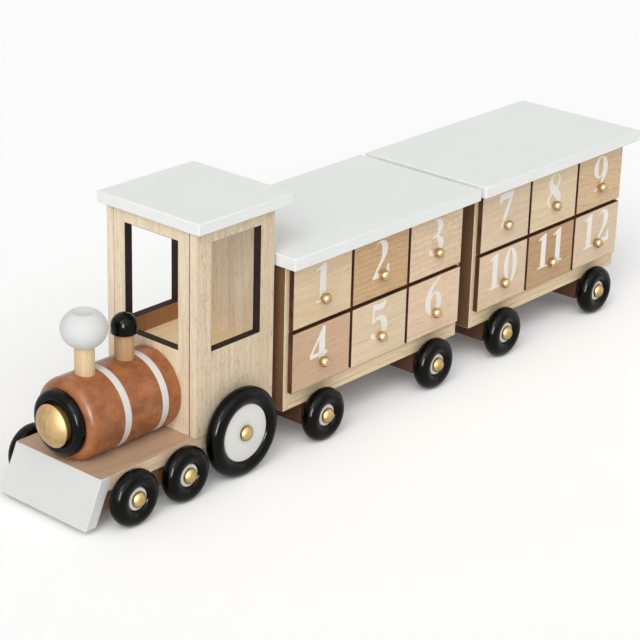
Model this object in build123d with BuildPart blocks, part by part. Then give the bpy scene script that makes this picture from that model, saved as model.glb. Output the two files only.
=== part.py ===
"""Wooden train advent calendar: a locomotive and two carriages with twelve small drawers each.

Millimetres. +X runs from the nose to the tail and +Z is up. Drawers open along -Y and +Y.
The origin lies on the ground, midway along the train and midway between its wheels.
"""
import math
import os

from build123d import *

os.makedirs("parts", exist_ok=True)

# Fits and allowances
running_clearance = 0.08
glue_clearance = 0.05
cut_overrun = 5.0

# Wheels: a round black tyre on a white hub, a domed gold cap over each end of the axle
small_wheel_radius = 19.6
large_wheel_radius = 32.2
tyre_width = 12.6
tyre_seat = 0.8
hub_thickness = 7.0
axle_radius = 3.0
wheel_gap = 0.7
cap_radius = 5.6
cap_rim = 1.6
cap_height = 4.8

# Drawers: an overlay front with a turned knob, on an open box of thin boards
columns = 3
rows = 2
front_width = 60.2
front_height = 44.4
front_thickness = 4.0
column_gap = 2.4
row_gap = 2.8
box_board = 3.0
box_side_clearance = 0.8
box_slide_clearance = 0.3
box_headroom = 4.3
box_back_gap = 1.0
front_clearance = 0.3
knob_radius = 4.0
knob_seat_radius = 2.2
knob_shank_radius = 1.5
knob_shank_depth = 3.0
knob_rise = 16.4

# Carriages: floor, end panels, dividers and roof
carriages = 2
carriage_width = 90.0
carriage_gap = 5.5
floor_bottom = 30.0
floor_thickness = 13.0
front_foot_gap = 0.5
end_panel_thickness = 4.6
divider_thickness = 4.0
shelf_thickness = 4.0
roof_gap = 3.8
roof_thickness = 8.8
roof_side_overhang = 13.5
roof_end_overhang = 5.5
roof_edge_radius = 1.5
axle_inset = 34.5
axle_block_length = 24.0
axle_block_inset = 2.8
axle_block_bottom = 12.0

# Coupling: a drawbar under each carriage, hooked over a peg on the vehicle ahead
drawbar_width = 18.0
drawbar_thickness = 4.0
drawbar_drop = 1.0
drawbar_tenon = 6.0
peg_radius = 3.0
peg_inset = 11.5
peg_seat = 8.0
peg_tail = 2.0

# Locomotive deck: footplate, underframe and cowcatcher
deck_inset = 4.0
axle_bed = 2.62
axle_cover = 1.22
footplate_tail = 23.5
underframe_inset = 3.0
underframe_bottom = 12.0
cowcatcher_rake = 14.8
cowcatcher_thickness = 9.8
cowcatcher_clearance = 4.4
front_axle_setback = 20.8
loco_wheel_gap = 7.5
middle_axle_lead = 17.2
rear_axle_inset = 36.5

# Boiler and what stands on it
boiler_radius = 28.5
boiler_setback = 5.0
boiler_flat = 2.4
boiler_round = 7.0
ring_radius = 22.8
ring_tube_radius = 5.0
ring_depth = 7.5
lamp_radius = 14.8
lamp_stand = 2.7
lamp_rim = 1.0
lamp_dome = 6.2
lamp_spigot_radius = 12.2
post_radius = 6.7
post_seat = 8.0
post_tenon = 6.0
chimney_setback = 19.6
chimney_rise = 18.4
ball_radius = 15.6
ball_half_height = 13.8
ball_flat_radius = 7.8
ball_dish = 1.6
dome_lead = 25.0
dome_rise = 17.5
dome_radius = 9.0
dome_skirt = 5.0

# Cab
cab_length = 74.0
cab_inset = 3.0
cab_wall = 6.5
cab_wall_height = 145.2
cab_gap = 2.5
cab_base_thickness = 12.0
cab_floor_thickness = 5.0
cab_floor_top = 83.0
window_sill = 96.0
window_head = 9.6
side_window_length = 46.4
front_window_width = 49.0
cab_roof_thickness = 8.2
cab_roof_front_overhang = 3.5
cab_roof_rear_overhang = 13.0
cab_roof_side_overhang = 5.3

# Layout across the train
tyre_radius = tyre_width / 2
carriage_wheel_middle = carriage_width / 2 + wheel_gap + tyre_radius
axle_block_width = carriage_width - 2 * axle_block_inset
deck_width = carriage_width - 2 * deck_inset
underframe_width = deck_width - 2 * underframe_inset
cab_width = carriage_width - 2 * cab_inset
loco_wheel_middle = cab_width / 2 + wheel_gap + tyre_radius

# Layout of one carriage
column_pitch = front_width + column_gap
row_pitch = front_height + row_gap
front_cover = (divider_thickness - column_gap) / 2
front_margin = end_panel_thickness - front_cover
carriage_length = columns * column_pitch - column_gap + 2 * front_margin
carriage_inside = carriage_length - 2 * end_panel_thickness
floor_top = floor_bottom + floor_thickness
front_foot = floor_top + front_foot_gap
roof_bottom = front_foot + rows * row_pitch - row_gap + roof_gap
roof_length = carriage_length + 2 * roof_end_overhang
roof_width = carriage_width + 2 * roof_side_overhang
shelf_top = floor_top + row_pitch
box_width = column_pitch - divider_thickness - 2 * box_side_clearance
box_height = row_pitch - shelf_thickness - box_slide_clearance - box_headroom
box_depth = carriage_width / 2 + front_clearance - box_back_gap
front_back = carriage_width / 2 + front_clearance
drawbar_top = floor_bottom - drawbar_drop
peg_foot = drawbar_top - drawbar_thickness - peg_tail

# Height of the footplate, which holds the rear axle in its thickness
axle_bore_radius = axle_radius + running_clearance
footplate_bottom = large_wheel_radius - axle_bore_radius - axle_bed
footplate_thickness = axle_bed + 2 * axle_bore_radius + axle_cover
footplate_top = footplate_bottom + footplate_thickness

# Layout along the train, from the toe of the cowcatcher. The deck is as long as its wheels need
deck_length = front_axle_setback + 2 * small_wheel_radius + loco_wheel_gap + middle_axle_lead
boiler_length = deck_length - boiler_setback
train_length = (cowcatcher_rake + deck_length + cab_length + cab_gap
                + carriages * (roof_length + carriage_gap) - carriage_gap)
nose_x = -train_length / 2
deck_front_x = nose_x + cowcatcher_rake
cab_front_x = deck_front_x + deck_length
cab_rear_x = cab_front_x + cab_length
first_carriage_x = cab_rear_x + cab_gap + roof_length / 2
carriage_pitch = roof_length + carriage_gap
front_axle_x = deck_front_x + front_axle_setback
middle_axle_x = cab_front_x - middle_axle_lead
rear_axle_x = cab_front_x + rear_axle_inset
boiler_front_x = cab_front_x - boiler_length
boiler_axis_z = footplate_top + boiler_radius - boiler_flat
boiler_top = boiler_axis_z + boiler_radius
boiler_axis = Axis((0, 0, boiler_axis_z), (1, 0, 0))
chimney_x = boiler_front_x + chimney_setback
dome_x = cab_front_x - dome_lead
cab_top = footplate_top + cab_wall_height
cab_inside_width = cab_width - 2 * cab_wall
cab_inside_length = cab_length - 2 * cab_wall
cab_middle_x = cab_front_x + cab_length / 2


def write(piece, name):
    """Label a finished piece, or a group of separate pieces, and write it under its name."""
    piece.label = name
    export_step(piece, f"parts/{name}.step")


def group(builders):
    """Gather finished pieces that stay separate solids of one node."""
    return Compound(children=[solid for builder in builders for solid in builder.part.solids()])


def board(length, width, thickness, middle_x, middle_y, bottom_z):
    """A flat rectangular board, given its middle in plan and its underside."""
    with BuildPart() as plank:
        with BuildSketch(Plane((middle_x, middle_y, bottom_z))):
            Rectangle(length, width)
        extrude(amount=thickness)
    return plank


def cowcatcher_back(height):
    """X of the cowcatcher's raked back face at a height above the ground."""
    slope = cowcatcher_rake / (footplate_top - cowcatcher_clearance)
    return deck_front_x + cowcatcher_thickness - slope * (footplate_top - height)


# Footplate: one board under boiler and cab, its front end cut to the rake of the cowcatcher,
# with a slot across its top in which the rear axle lies
footplate_rear_x = cab_rear_x - footplate_tail
with BuildPart() as footplate:
    with BuildSketch(Plane.XZ):
        with BuildLine():
            Polyline(
                (cowcatcher_back(footplate_bottom), footplate_bottom),
                (cowcatcher_back(footplate_top), footplate_top),
                (footplate_rear_x, footplate_top),
                (footplate_rear_x, footplate_bottom),
                close=True,
            )
        make_face()
    extrude(amount=deck_width / 2, both=True)
    with BuildSketch(Plane.XZ):
        with Locations((rear_axle_x, large_wheel_radius)):
            Circle(axle_bore_radius)
            Rectangle(
                2 * axle_bore_radius,
                footplate_top - large_wheel_radius + cut_overrun,
                align=(Align.CENTER, Align.MIN),
            )
    extrude(amount=deck_width / 2 + cut_overrun, both=True, mode=Mode.SUBTRACT)
write(footplate.part, "footplate")

# Underframe: a block under the footplate, bored across for the front and middle axles
with BuildPart() as underframe:
    with BuildSketch(Plane.XZ):
        with BuildLine():
            Polyline(
                (cowcatcher_back(underframe_bottom), underframe_bottom),
                (cowcatcher_back(footplate_bottom), footplate_bottom),
                (cab_front_x, footplate_bottom),
                (cab_front_x, underframe_bottom),
                close=True,
            )
        make_face()
    extrude(amount=underframe_width / 2, both=True)
    with BuildSketch(Plane.XZ):
        with Locations((front_axle_x, small_wheel_radius), (middle_axle_x, small_wheel_radius)):
            Circle(axle_bore_radius)
    extrude(amount=underframe_width / 2 + cut_overrun, both=True, mode=Mode.SUBTRACT)
write(underframe.part, "underframe")

# Cowcatcher: a raked board across the nose, its top flush with the footplate
with BuildPart() as cowcatcher:
    with BuildSketch(Plane.XZ):
        with BuildLine():
            Polyline(
                (nose_x, cowcatcher_clearance),
                (deck_front_x, footplate_top),
                (deck_front_x + cowcatcher_thickness, footplate_top),
                (nose_x + cowcatcher_thickness, cowcatcher_clearance),
                close=True,
            )
        make_face()
    extrude(amount=deck_width / 2, both=True)
write(cowcatcher.part, "cowcatcher")

# Boiler: a turned log with a rounded front, planed flat where it lies on the footplate
with BuildPart() as boiler:
    with BuildSketch(Plane.YZ.offset(boiler_front_x)):
        with Locations((0, boiler_axis_z)):
            Circle(boiler_radius)
    extrude(amount=boiler_length)
    fillet(boiler.edges().filter_by(GeomType.CIRCLE).sort_by(Axis.X)[0], boiler_round)
    split(bisect_by=Plane.XY.offset(footplate_top), keep=Keep.TOP)
    with BuildSketch(Plane.XY.offset(boiler_top - post_seat)):
        with Locations((chimney_x, 0), (dome_x, 0)):
            Circle(post_radius + glue_clearance)
    extrude(amount=post_seat + cut_overrun, mode=Mode.SUBTRACT)
write(boiler.part, "boiler")

# Smokebox ring: a turned ring with its back faced flat against the boiler
ring_middle_x = boiler_front_x + ring_tube_radius - ring_depth
with BuildPart() as smokebox_ring:
    with BuildSketch(Plane.XZ):
        with Locations((ring_middle_x, boiler_axis_z + ring_radius - ring_tube_radius)):
            Circle(ring_tube_radius)
    revolve(axis=boiler_axis)
    split(bisect_by=Plane.YZ.offset(boiler_front_x), keep=Keep.BOTTOM)
write(smokebox_ring.part, "smokebox_ring")

# Headlamp: a domed disc on a spigot that passes through the ring to the boiler, standing a little off the ring
lamp_step = ring_radius - ring_tube_radius - lamp_radius
lamp_back_x = ring_middle_x - math.sqrt(ring_tube_radius**2 - lamp_step**2) - lamp_stand
lamp_front_x = lamp_back_x - lamp_rim
with BuildPart() as headlamp:
    with BuildSketch(Plane.XZ):
        with BuildLine():
            Polyline(
                (lamp_front_x - lamp_dome, boiler_axis_z),
                (boiler_front_x, boiler_axis_z),
                (boiler_front_x, boiler_axis_z + lamp_spigot_radius),
                (lamp_back_x, boiler_axis_z + lamp_spigot_radius),
                (lamp_back_x, boiler_axis_z + lamp_radius),
                (lamp_front_x, boiler_axis_z + lamp_radius),
            )
            TangentArc(
                (lamp_front_x - lamp_dome, boiler_axis_z),
                (lamp_front_x, boiler_axis_z + lamp_radius),
                tangent=(0, 1),
            )
        make_face()
    revolve(axis=boiler_axis)
write(headlamp.part, "headlamp")

# Boiler posts: two dowels glued into the boiler, one for the chimney and one for the dome
with BuildPart() as boiler_posts:
    with BuildSketch(Plane.XY.offset(boiler_top - post_seat)):
        with Locations((chimney_x, 0)):
            Circle(post_radius)
    extrude(amount=post_seat + chimney_rise + post_tenon)
    with BuildSketch(Plane.XY.offset(boiler_top - post_seat)):
        with Locations((dome_x, 0)):
            Circle(post_radius)
    extrude(amount=post_seat + dome_rise + post_tenon)
write(boiler_posts.part, "boiler_posts")

# Chimney ball: a flattened wooden bead on its post, the top cut flat and turned to a shallow dish
ball_z = boiler_top + chimney_rise + ball_half_height * math.sqrt(1 - (post_radius / ball_radius) ** 2)
ball_flat_angle = math.degrees(math.acos(ball_flat_radius / ball_radius))
ball_flat_z = ball_z + ball_half_height * math.sin(math.radians(ball_flat_angle))
with BuildPart() as chimney_ball:
    with BuildSketch(Plane.XZ):
        with BuildLine():
            flank = EllipticalCenterArc(
                (chimney_x, ball_z), ball_radius, ball_half_height,
                start_angle=-90, arc_size=90 + ball_flat_angle,
            )
            TangentArc((chimney_x, ball_flat_z - ball_dish), flank @ 1, tangent=(1, 0))
            Line((chimney_x, ball_flat_z - ball_dish), flank @ 0)
        make_face()
    revolve(axis=Axis((chimney_x, 0, 0), (0, 0, 1)))
    with BuildSketch(Plane.XY.offset(boiler_top + chimney_rise - cut_overrun)):
        with Locations((chimney_x, 0)):
            Circle(post_radius + glue_clearance)
    extrude(amount=cut_overrun + post_tenon, mode=Mode.SUBTRACT)
write(chimney_ball.part, "chimney_ball")

# Dome cap: a turned thimble shape, bored to sit over the second post
dome_foot = boiler_top + dome_rise
with BuildPart() as dome_cap:
    with BuildSketch(Plane.XZ):
        with BuildLine():
            Polyline(
                (dome_x, dome_foot + dome_skirt + dome_radius),
                (dome_x, dome_foot),
                (dome_x + dome_radius, dome_foot),
                (dome_x + dome_radius, dome_foot + dome_skirt),
            )
            TangentArc(
                (dome_x + dome_radius, dome_foot + dome_skirt),
                (dome_x, dome_foot + dome_skirt + dome_radius),
                tangent=(0, 1),
            )
        make_face()
    revolve(axis=Axis((dome_x, 0, 0), (0, 0, 1)))
    with BuildSketch(Plane.XY.offset(dome_foot - cut_overrun)):
        with Locations((dome_x, 0)):
            Circle(post_radius + glue_clearance)
    extrude(amount=cut_overrun + post_tenon, mode=Mode.SUBTRACT)
write(dome_cap.part, "dome_cap")

# Cab front panel: stands on the footplate between the side panels, with one window
window_height = cab_top - window_head - window_sill
window_middle = window_sill + window_height / 2
with BuildPart() as cab_front_panel:
    with BuildSketch(Plane.YZ.offset(cab_front_x)):
        with Locations((0, footplate_top + cab_wall_height / 2)):
            Rectangle(cab_inside_width, cab_wall_height)
        with Locations((0, window_middle)):
            Rectangle(front_window_width, window_height, mode=Mode.SUBTRACT)
    extrude(amount=cab_wall)
write(cab_front_panel.part, "cab_front_panel")

# Cab rear panel: plain, between the side panels
with BuildPart() as cab_rear_panel:
    with BuildSketch(Plane.YZ.offset(cab_rear_x - cab_wall)):
        with Locations((0, footplate_top + cab_wall_height / 2)):
            Rectangle(cab_inside_width, cab_wall_height)
    extrude(amount=cab_wall)
write(cab_rear_panel.part, "cab_rear_panel")

# Cab side panels: a pair with one window each, covering the ends of the front and rear panels
with BuildPart() as cab_side_panels:
    with BuildSketch(Plane.XZ.offset(cab_inside_width / 2)):
        with Locations((cab_middle_x, footplate_top + cab_wall_height / 2)):
            Rectangle(cab_length, cab_wall_height)
        with Locations((cab_middle_x, window_middle)):
            Rectangle(side_window_length, window_height, mode=Mode.SUBTRACT)
    extrude(amount=cab_wall)
    mirror(about=Plane.XZ)
write(cab_side_panels.part, "cab_side_panels")

# Cab base: a block inside the foot of the cab that closes the rear axle's slot from above,
# with the socket of the coupling peg
loco_peg_x = cab_rear_x - peg_inset
with BuildPart() as cab_base:
    with BuildSketch(Plane((cab_middle_x, 0, footplate_top))):
        Rectangle(cab_inside_length, cab_inside_width)
    extrude(amount=cab_base_thickness)
    with BuildSketch(Plane.XY.offset(footplate_top - cut_overrun)):
        with Locations((loco_peg_x, 0)):
            Circle(peg_radius + glue_clearance)
    extrude(amount=cut_overrun + peg_seat, mode=Mode.SUBTRACT)
write(cab_base.part, "cab_base")

# Cab floor: a thin board between the four panels, a little way under the window sills
cab_floor = board(
    cab_inside_length, cab_inside_width, cab_floor_thickness,
    cab_middle_x, 0, cab_floor_top - cab_floor_thickness,
)
write(cab_floor.part, "cab_floor")

# Cab roof: a slab with softened edges that overhangs the panels, most of all at the rear
with BuildPart() as cab_roof:
    with BuildSketch(Plane((cab_middle_x, 0, cab_top))):
        with Locations(((cab_roof_rear_overhang - cab_roof_front_overhang) / 2, 0)):
            Rectangle(
                cab_length + cab_roof_front_overhang + cab_roof_rear_overhang,
                cab_width + 2 * cab_roof_side_overhang,
            )
    extrude(amount=cab_roof_thickness)
    fillet(cab_roof.edges(), roof_edge_radius)
write(cab_roof.part, "cab_roof")


def hitch_peg(peg_x, seat_z):
    """A dowel glued up into its vehicle, hanging through the eye of the drawbar behind."""
    with BuildPart() as peg:
        with BuildSketch(Plane((peg_x, 0, peg_foot))):
            Circle(peg_radius)
        extrude(amount=seat_z + peg_seat - peg_foot)
    return peg


write(hitch_peg(loco_peg_x, footplate_top).part, "loco_hitch_peg")


def carriage_floor(middle_x, peg_x):
    """The thick floor board between the end panels, with a peg socket where a carriage follows."""
    with BuildPart() as floor:
        with BuildSketch(Plane((middle_x, 0, floor_bottom))):
            Rectangle(carriage_inside, carriage_width)
        extrude(amount=floor_thickness)
        if peg_x is not None:
            with BuildSketch(Plane((peg_x, 0, floor_bottom - cut_overrun))):
                Circle(peg_radius + glue_clearance)
            extrude(amount=cut_overrun + peg_seat, mode=Mode.SUBTRACT)
    return floor


def end_panels(middle_x):
    """The two end boards, from the underside of the floor up to the roof."""
    with BuildPart() as panels:
        with BuildSketch(Plane((middle_x, 0, floor_bottom))):
            with GridLocations(carriage_length - end_panel_thickness, 0, 2, 1):
                Rectangle(end_panel_thickness, carriage_width)
        extrude(amount=roof_bottom - floor_bottom)
    return panels


def dividers(middle_x):
    """The shelf between the rows, and the upright boards between the columns above and below it."""
    shelf = board(
        carriage_inside, carriage_width, shelf_thickness,
        middle_x, 0, shelf_top - shelf_thickness,
    )
    storeys = ((floor_top, shelf_top - shelf_thickness), (shelf_top, roof_bottom))
    uprights = []
    for low, high in storeys:
        for column in range(1, columns):
            upright_x = middle_x + (column - columns / 2) * column_pitch
            uprights.append(board(divider_thickness, carriage_width, high - low, upright_x, 0, low))
    return group([shelf] + uprights)


def carriage_roof(middle_x):
    """The roof slab with softened edges, wider and longer than the body."""
    with BuildPart() as roof:
        with BuildSketch(Plane((middle_x, 0, roof_bottom))):
            Rectangle(roof_length, roof_width)
        extrude(amount=roof_thickness)
        fillet(roof.edges(), roof_edge_radius)
    return roof


def axle_blocks(middle_x, axle_xs):
    """Two blocks across the underside, bored for the axles, the front one slotted for the drawbar."""
    with BuildPart() as blocks:
        with BuildSketch(Plane.XY.offset(axle_block_bottom)):
            with Locations(*[(axle_x, 0) for axle_x in axle_xs]):
                Rectangle(axle_block_length, axle_block_width)
        extrude(amount=floor_bottom - axle_block_bottom)
        with BuildSketch(Plane.XZ):
            with Locations(*[(axle_x, small_wheel_radius) for axle_x in axle_xs]):
                Circle(axle_bore_radius)
        extrude(amount=axle_block_width / 2 + cut_overrun, both=True, mode=Mode.SUBTRACT)
        with BuildSketch(Plane.XY.offset(drawbar_top - drawbar_thickness)):
            with Locations((axle_xs[0] - axle_block_length / 2, 0)):
                Rectangle(2 * drawbar_tenon, drawbar_width)
        extrude(amount=drawbar_thickness, mode=Mode.SUBTRACT)
    return blocks


def drawbar(peg_x, block_front_x):
    """A flat bar let into the front axle block, with a round eye over the peg of the vehicle ahead."""
    bar_end_x = block_front_x + drawbar_tenon
    with BuildPart() as bar:
        with BuildSketch(Plane.XY.offset(drawbar_top - drawbar_thickness)):
            with Locations((peg_x, 0)):
                Circle(drawbar_width / 2)
            with Locations(((peg_x + bar_end_x) / 2, 0)):
                Rectangle(bar_end_x - peg_x, drawbar_width)
            with Locations((peg_x, 0)):
                Circle(peg_radius + running_clearance, mode=Mode.SUBTRACT)
        extrude(amount=drawbar_thickness)
    return bar


def wheelset(axle_x, wheel_radius, wheel_middle):
    """An axle through two hubs, each with its tyre and its cap, turning as one."""
    cap_seat = wheel_middle + hub_thickness / 2
    hub_radius = wheel_radius - tyre_width + tyre_seat
    axle_line = Axis((axle_x, 0, wheel_radius), (0, 1, 0))
    across = Plane((axle_x, 0, wheel_radius), x_dir=(1, 0, 0), z_dir=(0, -1, 0))
    with BuildPart() as axle:
        with BuildSketch(across):
            Circle(axle_radius)
        extrude(amount=cap_seat, both=True)
    pieces = [axle]
    for side in (-1, 1):
        with BuildPart() as tyre:
            with BuildSketch(Plane.YZ.offset(axle_x)):
                with Locations((side * wheel_middle, 2 * wheel_radius - tyre_radius)):
                    Circle(tyre_radius)
            revolve(axis=axle_line)
            with BuildSketch(across.offset(-side * wheel_middle)):
                Circle(hub_radius)
            extrude(amount=tyre_width, both=True, mode=Mode.SUBTRACT)
        with BuildPart() as hub:
            with BuildSketch(across.offset(-side * wheel_middle)):
                Circle(hub_radius)
                Circle(axle_radius, mode=Mode.SUBTRACT)
            extrude(amount=hub_thickness / 2, both=True)
        with BuildPart() as cap:
            with BuildSketch(Plane.YZ.offset(axle_x)):
                with BuildLine():
                    Polyline(
                        (side * (cap_seat + cap_height), wheel_radius),
                        (side * cap_seat, wheel_radius),
                        (side * cap_seat, wheel_radius + cap_radius),
                        (side * (cap_seat + cap_rim), wheel_radius + cap_radius),
                    )
                    TangentArc(
                        (side * (cap_seat + cap_height), wheel_radius),
                        (side * (cap_seat + cap_rim), wheel_radius + cap_radius),
                        tangent=(0, 1),
                    )
                make_face()
            revolve(axis=axle_line)
        pieces += [tyre, hub, cap]
    return group(pieces)


def drawer():
    """One drawer that opens along -Y: front, two sides, back, bottom and knob.

    It is made at the middle of a carriage, with the underside of its box at zero height.
    """
    foot = front_foot - floor_top - box_slide_clearance
    knob_z = foot + knob_rise
    face = Plane.XZ.offset(front_back)
    with BuildPart() as front:
        with BuildSketch(face):
            with Locations((0, foot + front_height / 2)):
                Rectangle(front_width, front_height)
            with Locations((0, knob_z)):
                Circle(knob_shank_radius + glue_clearance, mode=Mode.SUBTRACT)
        extrude(amount=front_thickness)
    box_middle_y = -front_back + box_depth / 2
    side_x = (box_width - box_board) / 2
    sides = [
        board(box_board, box_depth, box_height, side * side_x, box_middle_y, 0)
        for side in (-1, 1)
    ]
    inner_width = box_width - 2 * box_board
    back = board(inner_width, box_board, box_height, 0, -front_back + box_depth - box_board / 2, 0)
    bottom = board(
        inner_width, box_depth - box_board, box_board, 0, box_middle_y - box_board / 2, 0,
    )
    knob_y = front_back + front_thickness
    knob_middle = knob_y + math.sqrt(knob_radius**2 - knob_seat_radius**2)
    with BuildPart() as knob:
        with BuildSketch(Plane.YZ):
            with BuildLine():
                Polyline(
                    (-knob_middle - knob_radius, knob_z),
                    (-knob_y + knob_shank_depth, knob_z),
                    (-knob_y + knob_shank_depth, knob_z + knob_shank_radius),
                    (-knob_y, knob_z + knob_shank_radius),
                    (-knob_y, knob_z + knob_seat_radius),
                )
                ThreePointArc(
                    (-knob_y, knob_z + knob_seat_radius),
                    (-knob_middle, knob_z + knob_radius),
                    (-knob_middle - knob_radius, knob_z),
                )
            make_face()
        revolve(axis=Axis((0, 0, knob_z), (0, 1, 0)))
    return [front] + sides + [back, bottom, knob]


# Carriages: the fixed pieces and wheelsets of each, front to back
ahead_peg_x = loco_peg_x
for carriage in range(carriages):
    car = f"car{carriage + 1}"
    middle_x = first_carriage_x + carriage * carriage_pitch
    axle_reach = carriage_length / 2 - axle_inset
    axle_xs = (middle_x - axle_reach, middle_x + axle_reach)
    tail_peg_x = None
    if carriage < carriages - 1:
        tail_peg_x = middle_x + carriage_length / 2 - peg_inset
        write(hitch_peg(tail_peg_x, floor_bottom).part, f"{car}_hitch_peg")
    write(carriage_floor(middle_x, tail_peg_x).part, f"{car}_floor")
    write(end_panels(middle_x).part, f"{car}_end_panels")
    write(dividers(middle_x), f"{car}_dividers")
    write(carriage_roof(middle_x).part, f"{car}_roof")
    write(axle_blocks(middle_x, axle_xs).part, f"{car}_axle_blocks")
    write(drawbar(ahead_peg_x, axle_xs[0] - axle_block_length / 2).part, f"{car}_drawbar")
    write(wheelset(axle_xs[0], small_wheel_radius, carriage_wheel_middle), f"{car}_front_wheelset")
    write(wheelset(axle_xs[1], small_wheel_radius, carriage_wheel_middle), f"{car}_rear_wheelset")
    ahead_peg_x = tail_peg_x

# Locomotive wheelsets
write(wheelset(front_axle_x, small_wheel_radius, loco_wheel_middle), "loco_front_wheelset")
write(wheelset(middle_axle_x, small_wheel_radius, loco_wheel_middle), "loco_middle_wheelset")
write(wheelset(rear_axle_x, large_wheel_radius, loco_wheel_middle), "loco_rear_wheelset")

# Drawers: numbered along the near side of the whole train, then along the far side
drawer_pieces = [piece for builder in drawer() for piece in builder.part.solids()]
drawers_per_side = rows * columns
for number in range(1, 2 * carriages * drawers_per_side + 1):
    side, place = divmod(number - 1, carriages * drawers_per_side)
    carriage, cell = divmod(place, drawers_per_side)
    row, column = divmod(cell, columns)
    turn = 180 * side
    along = (column - (columns - 1) / 2) * column_pitch
    if side:
        carriage = carriages - 1 - carriage
        along = -along
    drawer_x = first_carriage_x + carriage * carriage_pitch + along
    drawer_z = floor_top + box_slide_clearance + (rows - 1 - row) * row_pitch
    place_of_drawer = Location((drawer_x, 0, drawer_z), (0, 0, turn))
    pieces = Compound(children=[piece.moved(place_of_drawer) for piece in drawer_pieces])
    write(pieces, f"drawer_{number:02d}")
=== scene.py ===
"""Looks of a wooden train advent calendar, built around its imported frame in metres."""
import math

import bmesh
import bpy
from mathutils import Matrix, Vector


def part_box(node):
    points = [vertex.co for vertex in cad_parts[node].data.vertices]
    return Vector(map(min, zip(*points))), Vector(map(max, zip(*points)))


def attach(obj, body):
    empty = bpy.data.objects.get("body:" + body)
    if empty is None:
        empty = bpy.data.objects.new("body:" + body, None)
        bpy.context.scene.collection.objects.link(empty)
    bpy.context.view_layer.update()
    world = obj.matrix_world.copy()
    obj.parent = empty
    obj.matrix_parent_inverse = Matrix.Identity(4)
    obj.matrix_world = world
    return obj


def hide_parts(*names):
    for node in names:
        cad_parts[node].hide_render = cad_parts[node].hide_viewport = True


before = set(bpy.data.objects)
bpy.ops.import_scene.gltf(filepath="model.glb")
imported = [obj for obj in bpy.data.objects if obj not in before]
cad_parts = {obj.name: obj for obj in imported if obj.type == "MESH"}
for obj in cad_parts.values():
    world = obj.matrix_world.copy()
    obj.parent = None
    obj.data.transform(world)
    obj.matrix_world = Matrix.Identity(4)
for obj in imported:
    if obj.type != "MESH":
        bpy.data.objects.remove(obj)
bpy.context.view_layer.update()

# Footplate
# One flat board of pale, plain-sawn wood that carries the whole locomotive. Its edges are eased
# with sandpaper, its front end is cut to a rake, and the rear axle lies in a slot across its top.
millimetre = 0.001


def place(node):
    """The corners of a node of the frame, in millimetres."""
    low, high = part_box(node)
    return low / millimetre, high / millimetre


def tint(red, green, blue):
    """A colour as it is mixed on a screen, from 0 to 255, as the light it stands for."""
    def light(value):
        value /= 255
        return value / 12.92 if value <= 0.04045 else ((value + 0.055) / 1.055) ** 2.4
    return (light(red), light(green), light(blue), 1.0)


def plug(tree, kind, options=None, inputs=None):
    """Add a shader node, set its options, and set or link its inputs."""
    node = tree.nodes.new(kind)
    for option, value in (options or {}).items():
        setattr(node, option, value)
    for socket, value in (inputs or {}).items():
        if isinstance(value, bpy.types.NodeSocket):
            tree.links.new(value, node.inputs[socket])
        else:
            node.inputs[socket].default_value = value
    return node


def sum_up(tree, operation, *values):
    """A Math node's result."""
    return plug(tree, "ShaderNodeMath", {"operation": operation}, dict(enumerate(values))).outputs[0]


def sway(tree, base, value, middle, gain):
    """A base value, raised by how far another value lies above its middle, times a gain."""
    return sum_up(tree, "MULTIPLY_ADD", sum_up(tree, "SUBTRACT", value, middle), gain, base)


def stretch(tree, vector, factors):
    """A pattern's coordinates, drawn out by a factor along each axis."""
    return plug(tree, "ShaderNodeVectorMath", {"operation": "MULTIPLY"}, {0: vector, 1: factors}).outputs[0]


def cloud(tree, vector, factors, detail, roughness=0.5):
    """A noise with its own stretch, and how fine it goes."""
    return plug(tree, "ShaderNodeTexNoise", None, {
        "Vector": stretch(tree, vector, factors), "Scale": 1.0,
        "Detail": detail, "Roughness": roughness,
    })


def between(tree, value, start, end, most=1.0):
    """How far a value has come from a start to an end, from nought up to the most that it may reach."""
    return plug(tree, "ShaderNodeMapRange", None, {
        "Value": value, "From Min": start, "From Max": end, "To Max": most,
    }).outputs[0]


def blend(tree, share, first, second):
    """Two colours mixed by a share of the second."""
    return plug(tree, "ShaderNodeMix", {"data_type": "RGBA"}, {0: share, 6: first, 7: second}).outputs[2]


def node_group(name, inputs, outputs):
    """An empty shader group with named sockets; gives its tree, what goes in and its output node."""
    tree = bpy.data.node_groups.new(name, "ShaderNodeTree")
    for label, kind in inputs:
        tree.interface.new_socket(label, in_out="INPUT", socket_type="NodeSocket" + kind)
    for label, kind in outputs:
        tree.interface.new_socket(label, in_out="OUTPUT", socket_type="NodeSocket" + kind)
    return tree, tree.nodes.new("NodeGroupInput").outputs, tree.nodes.new("NodeGroupOutput").inputs


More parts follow.
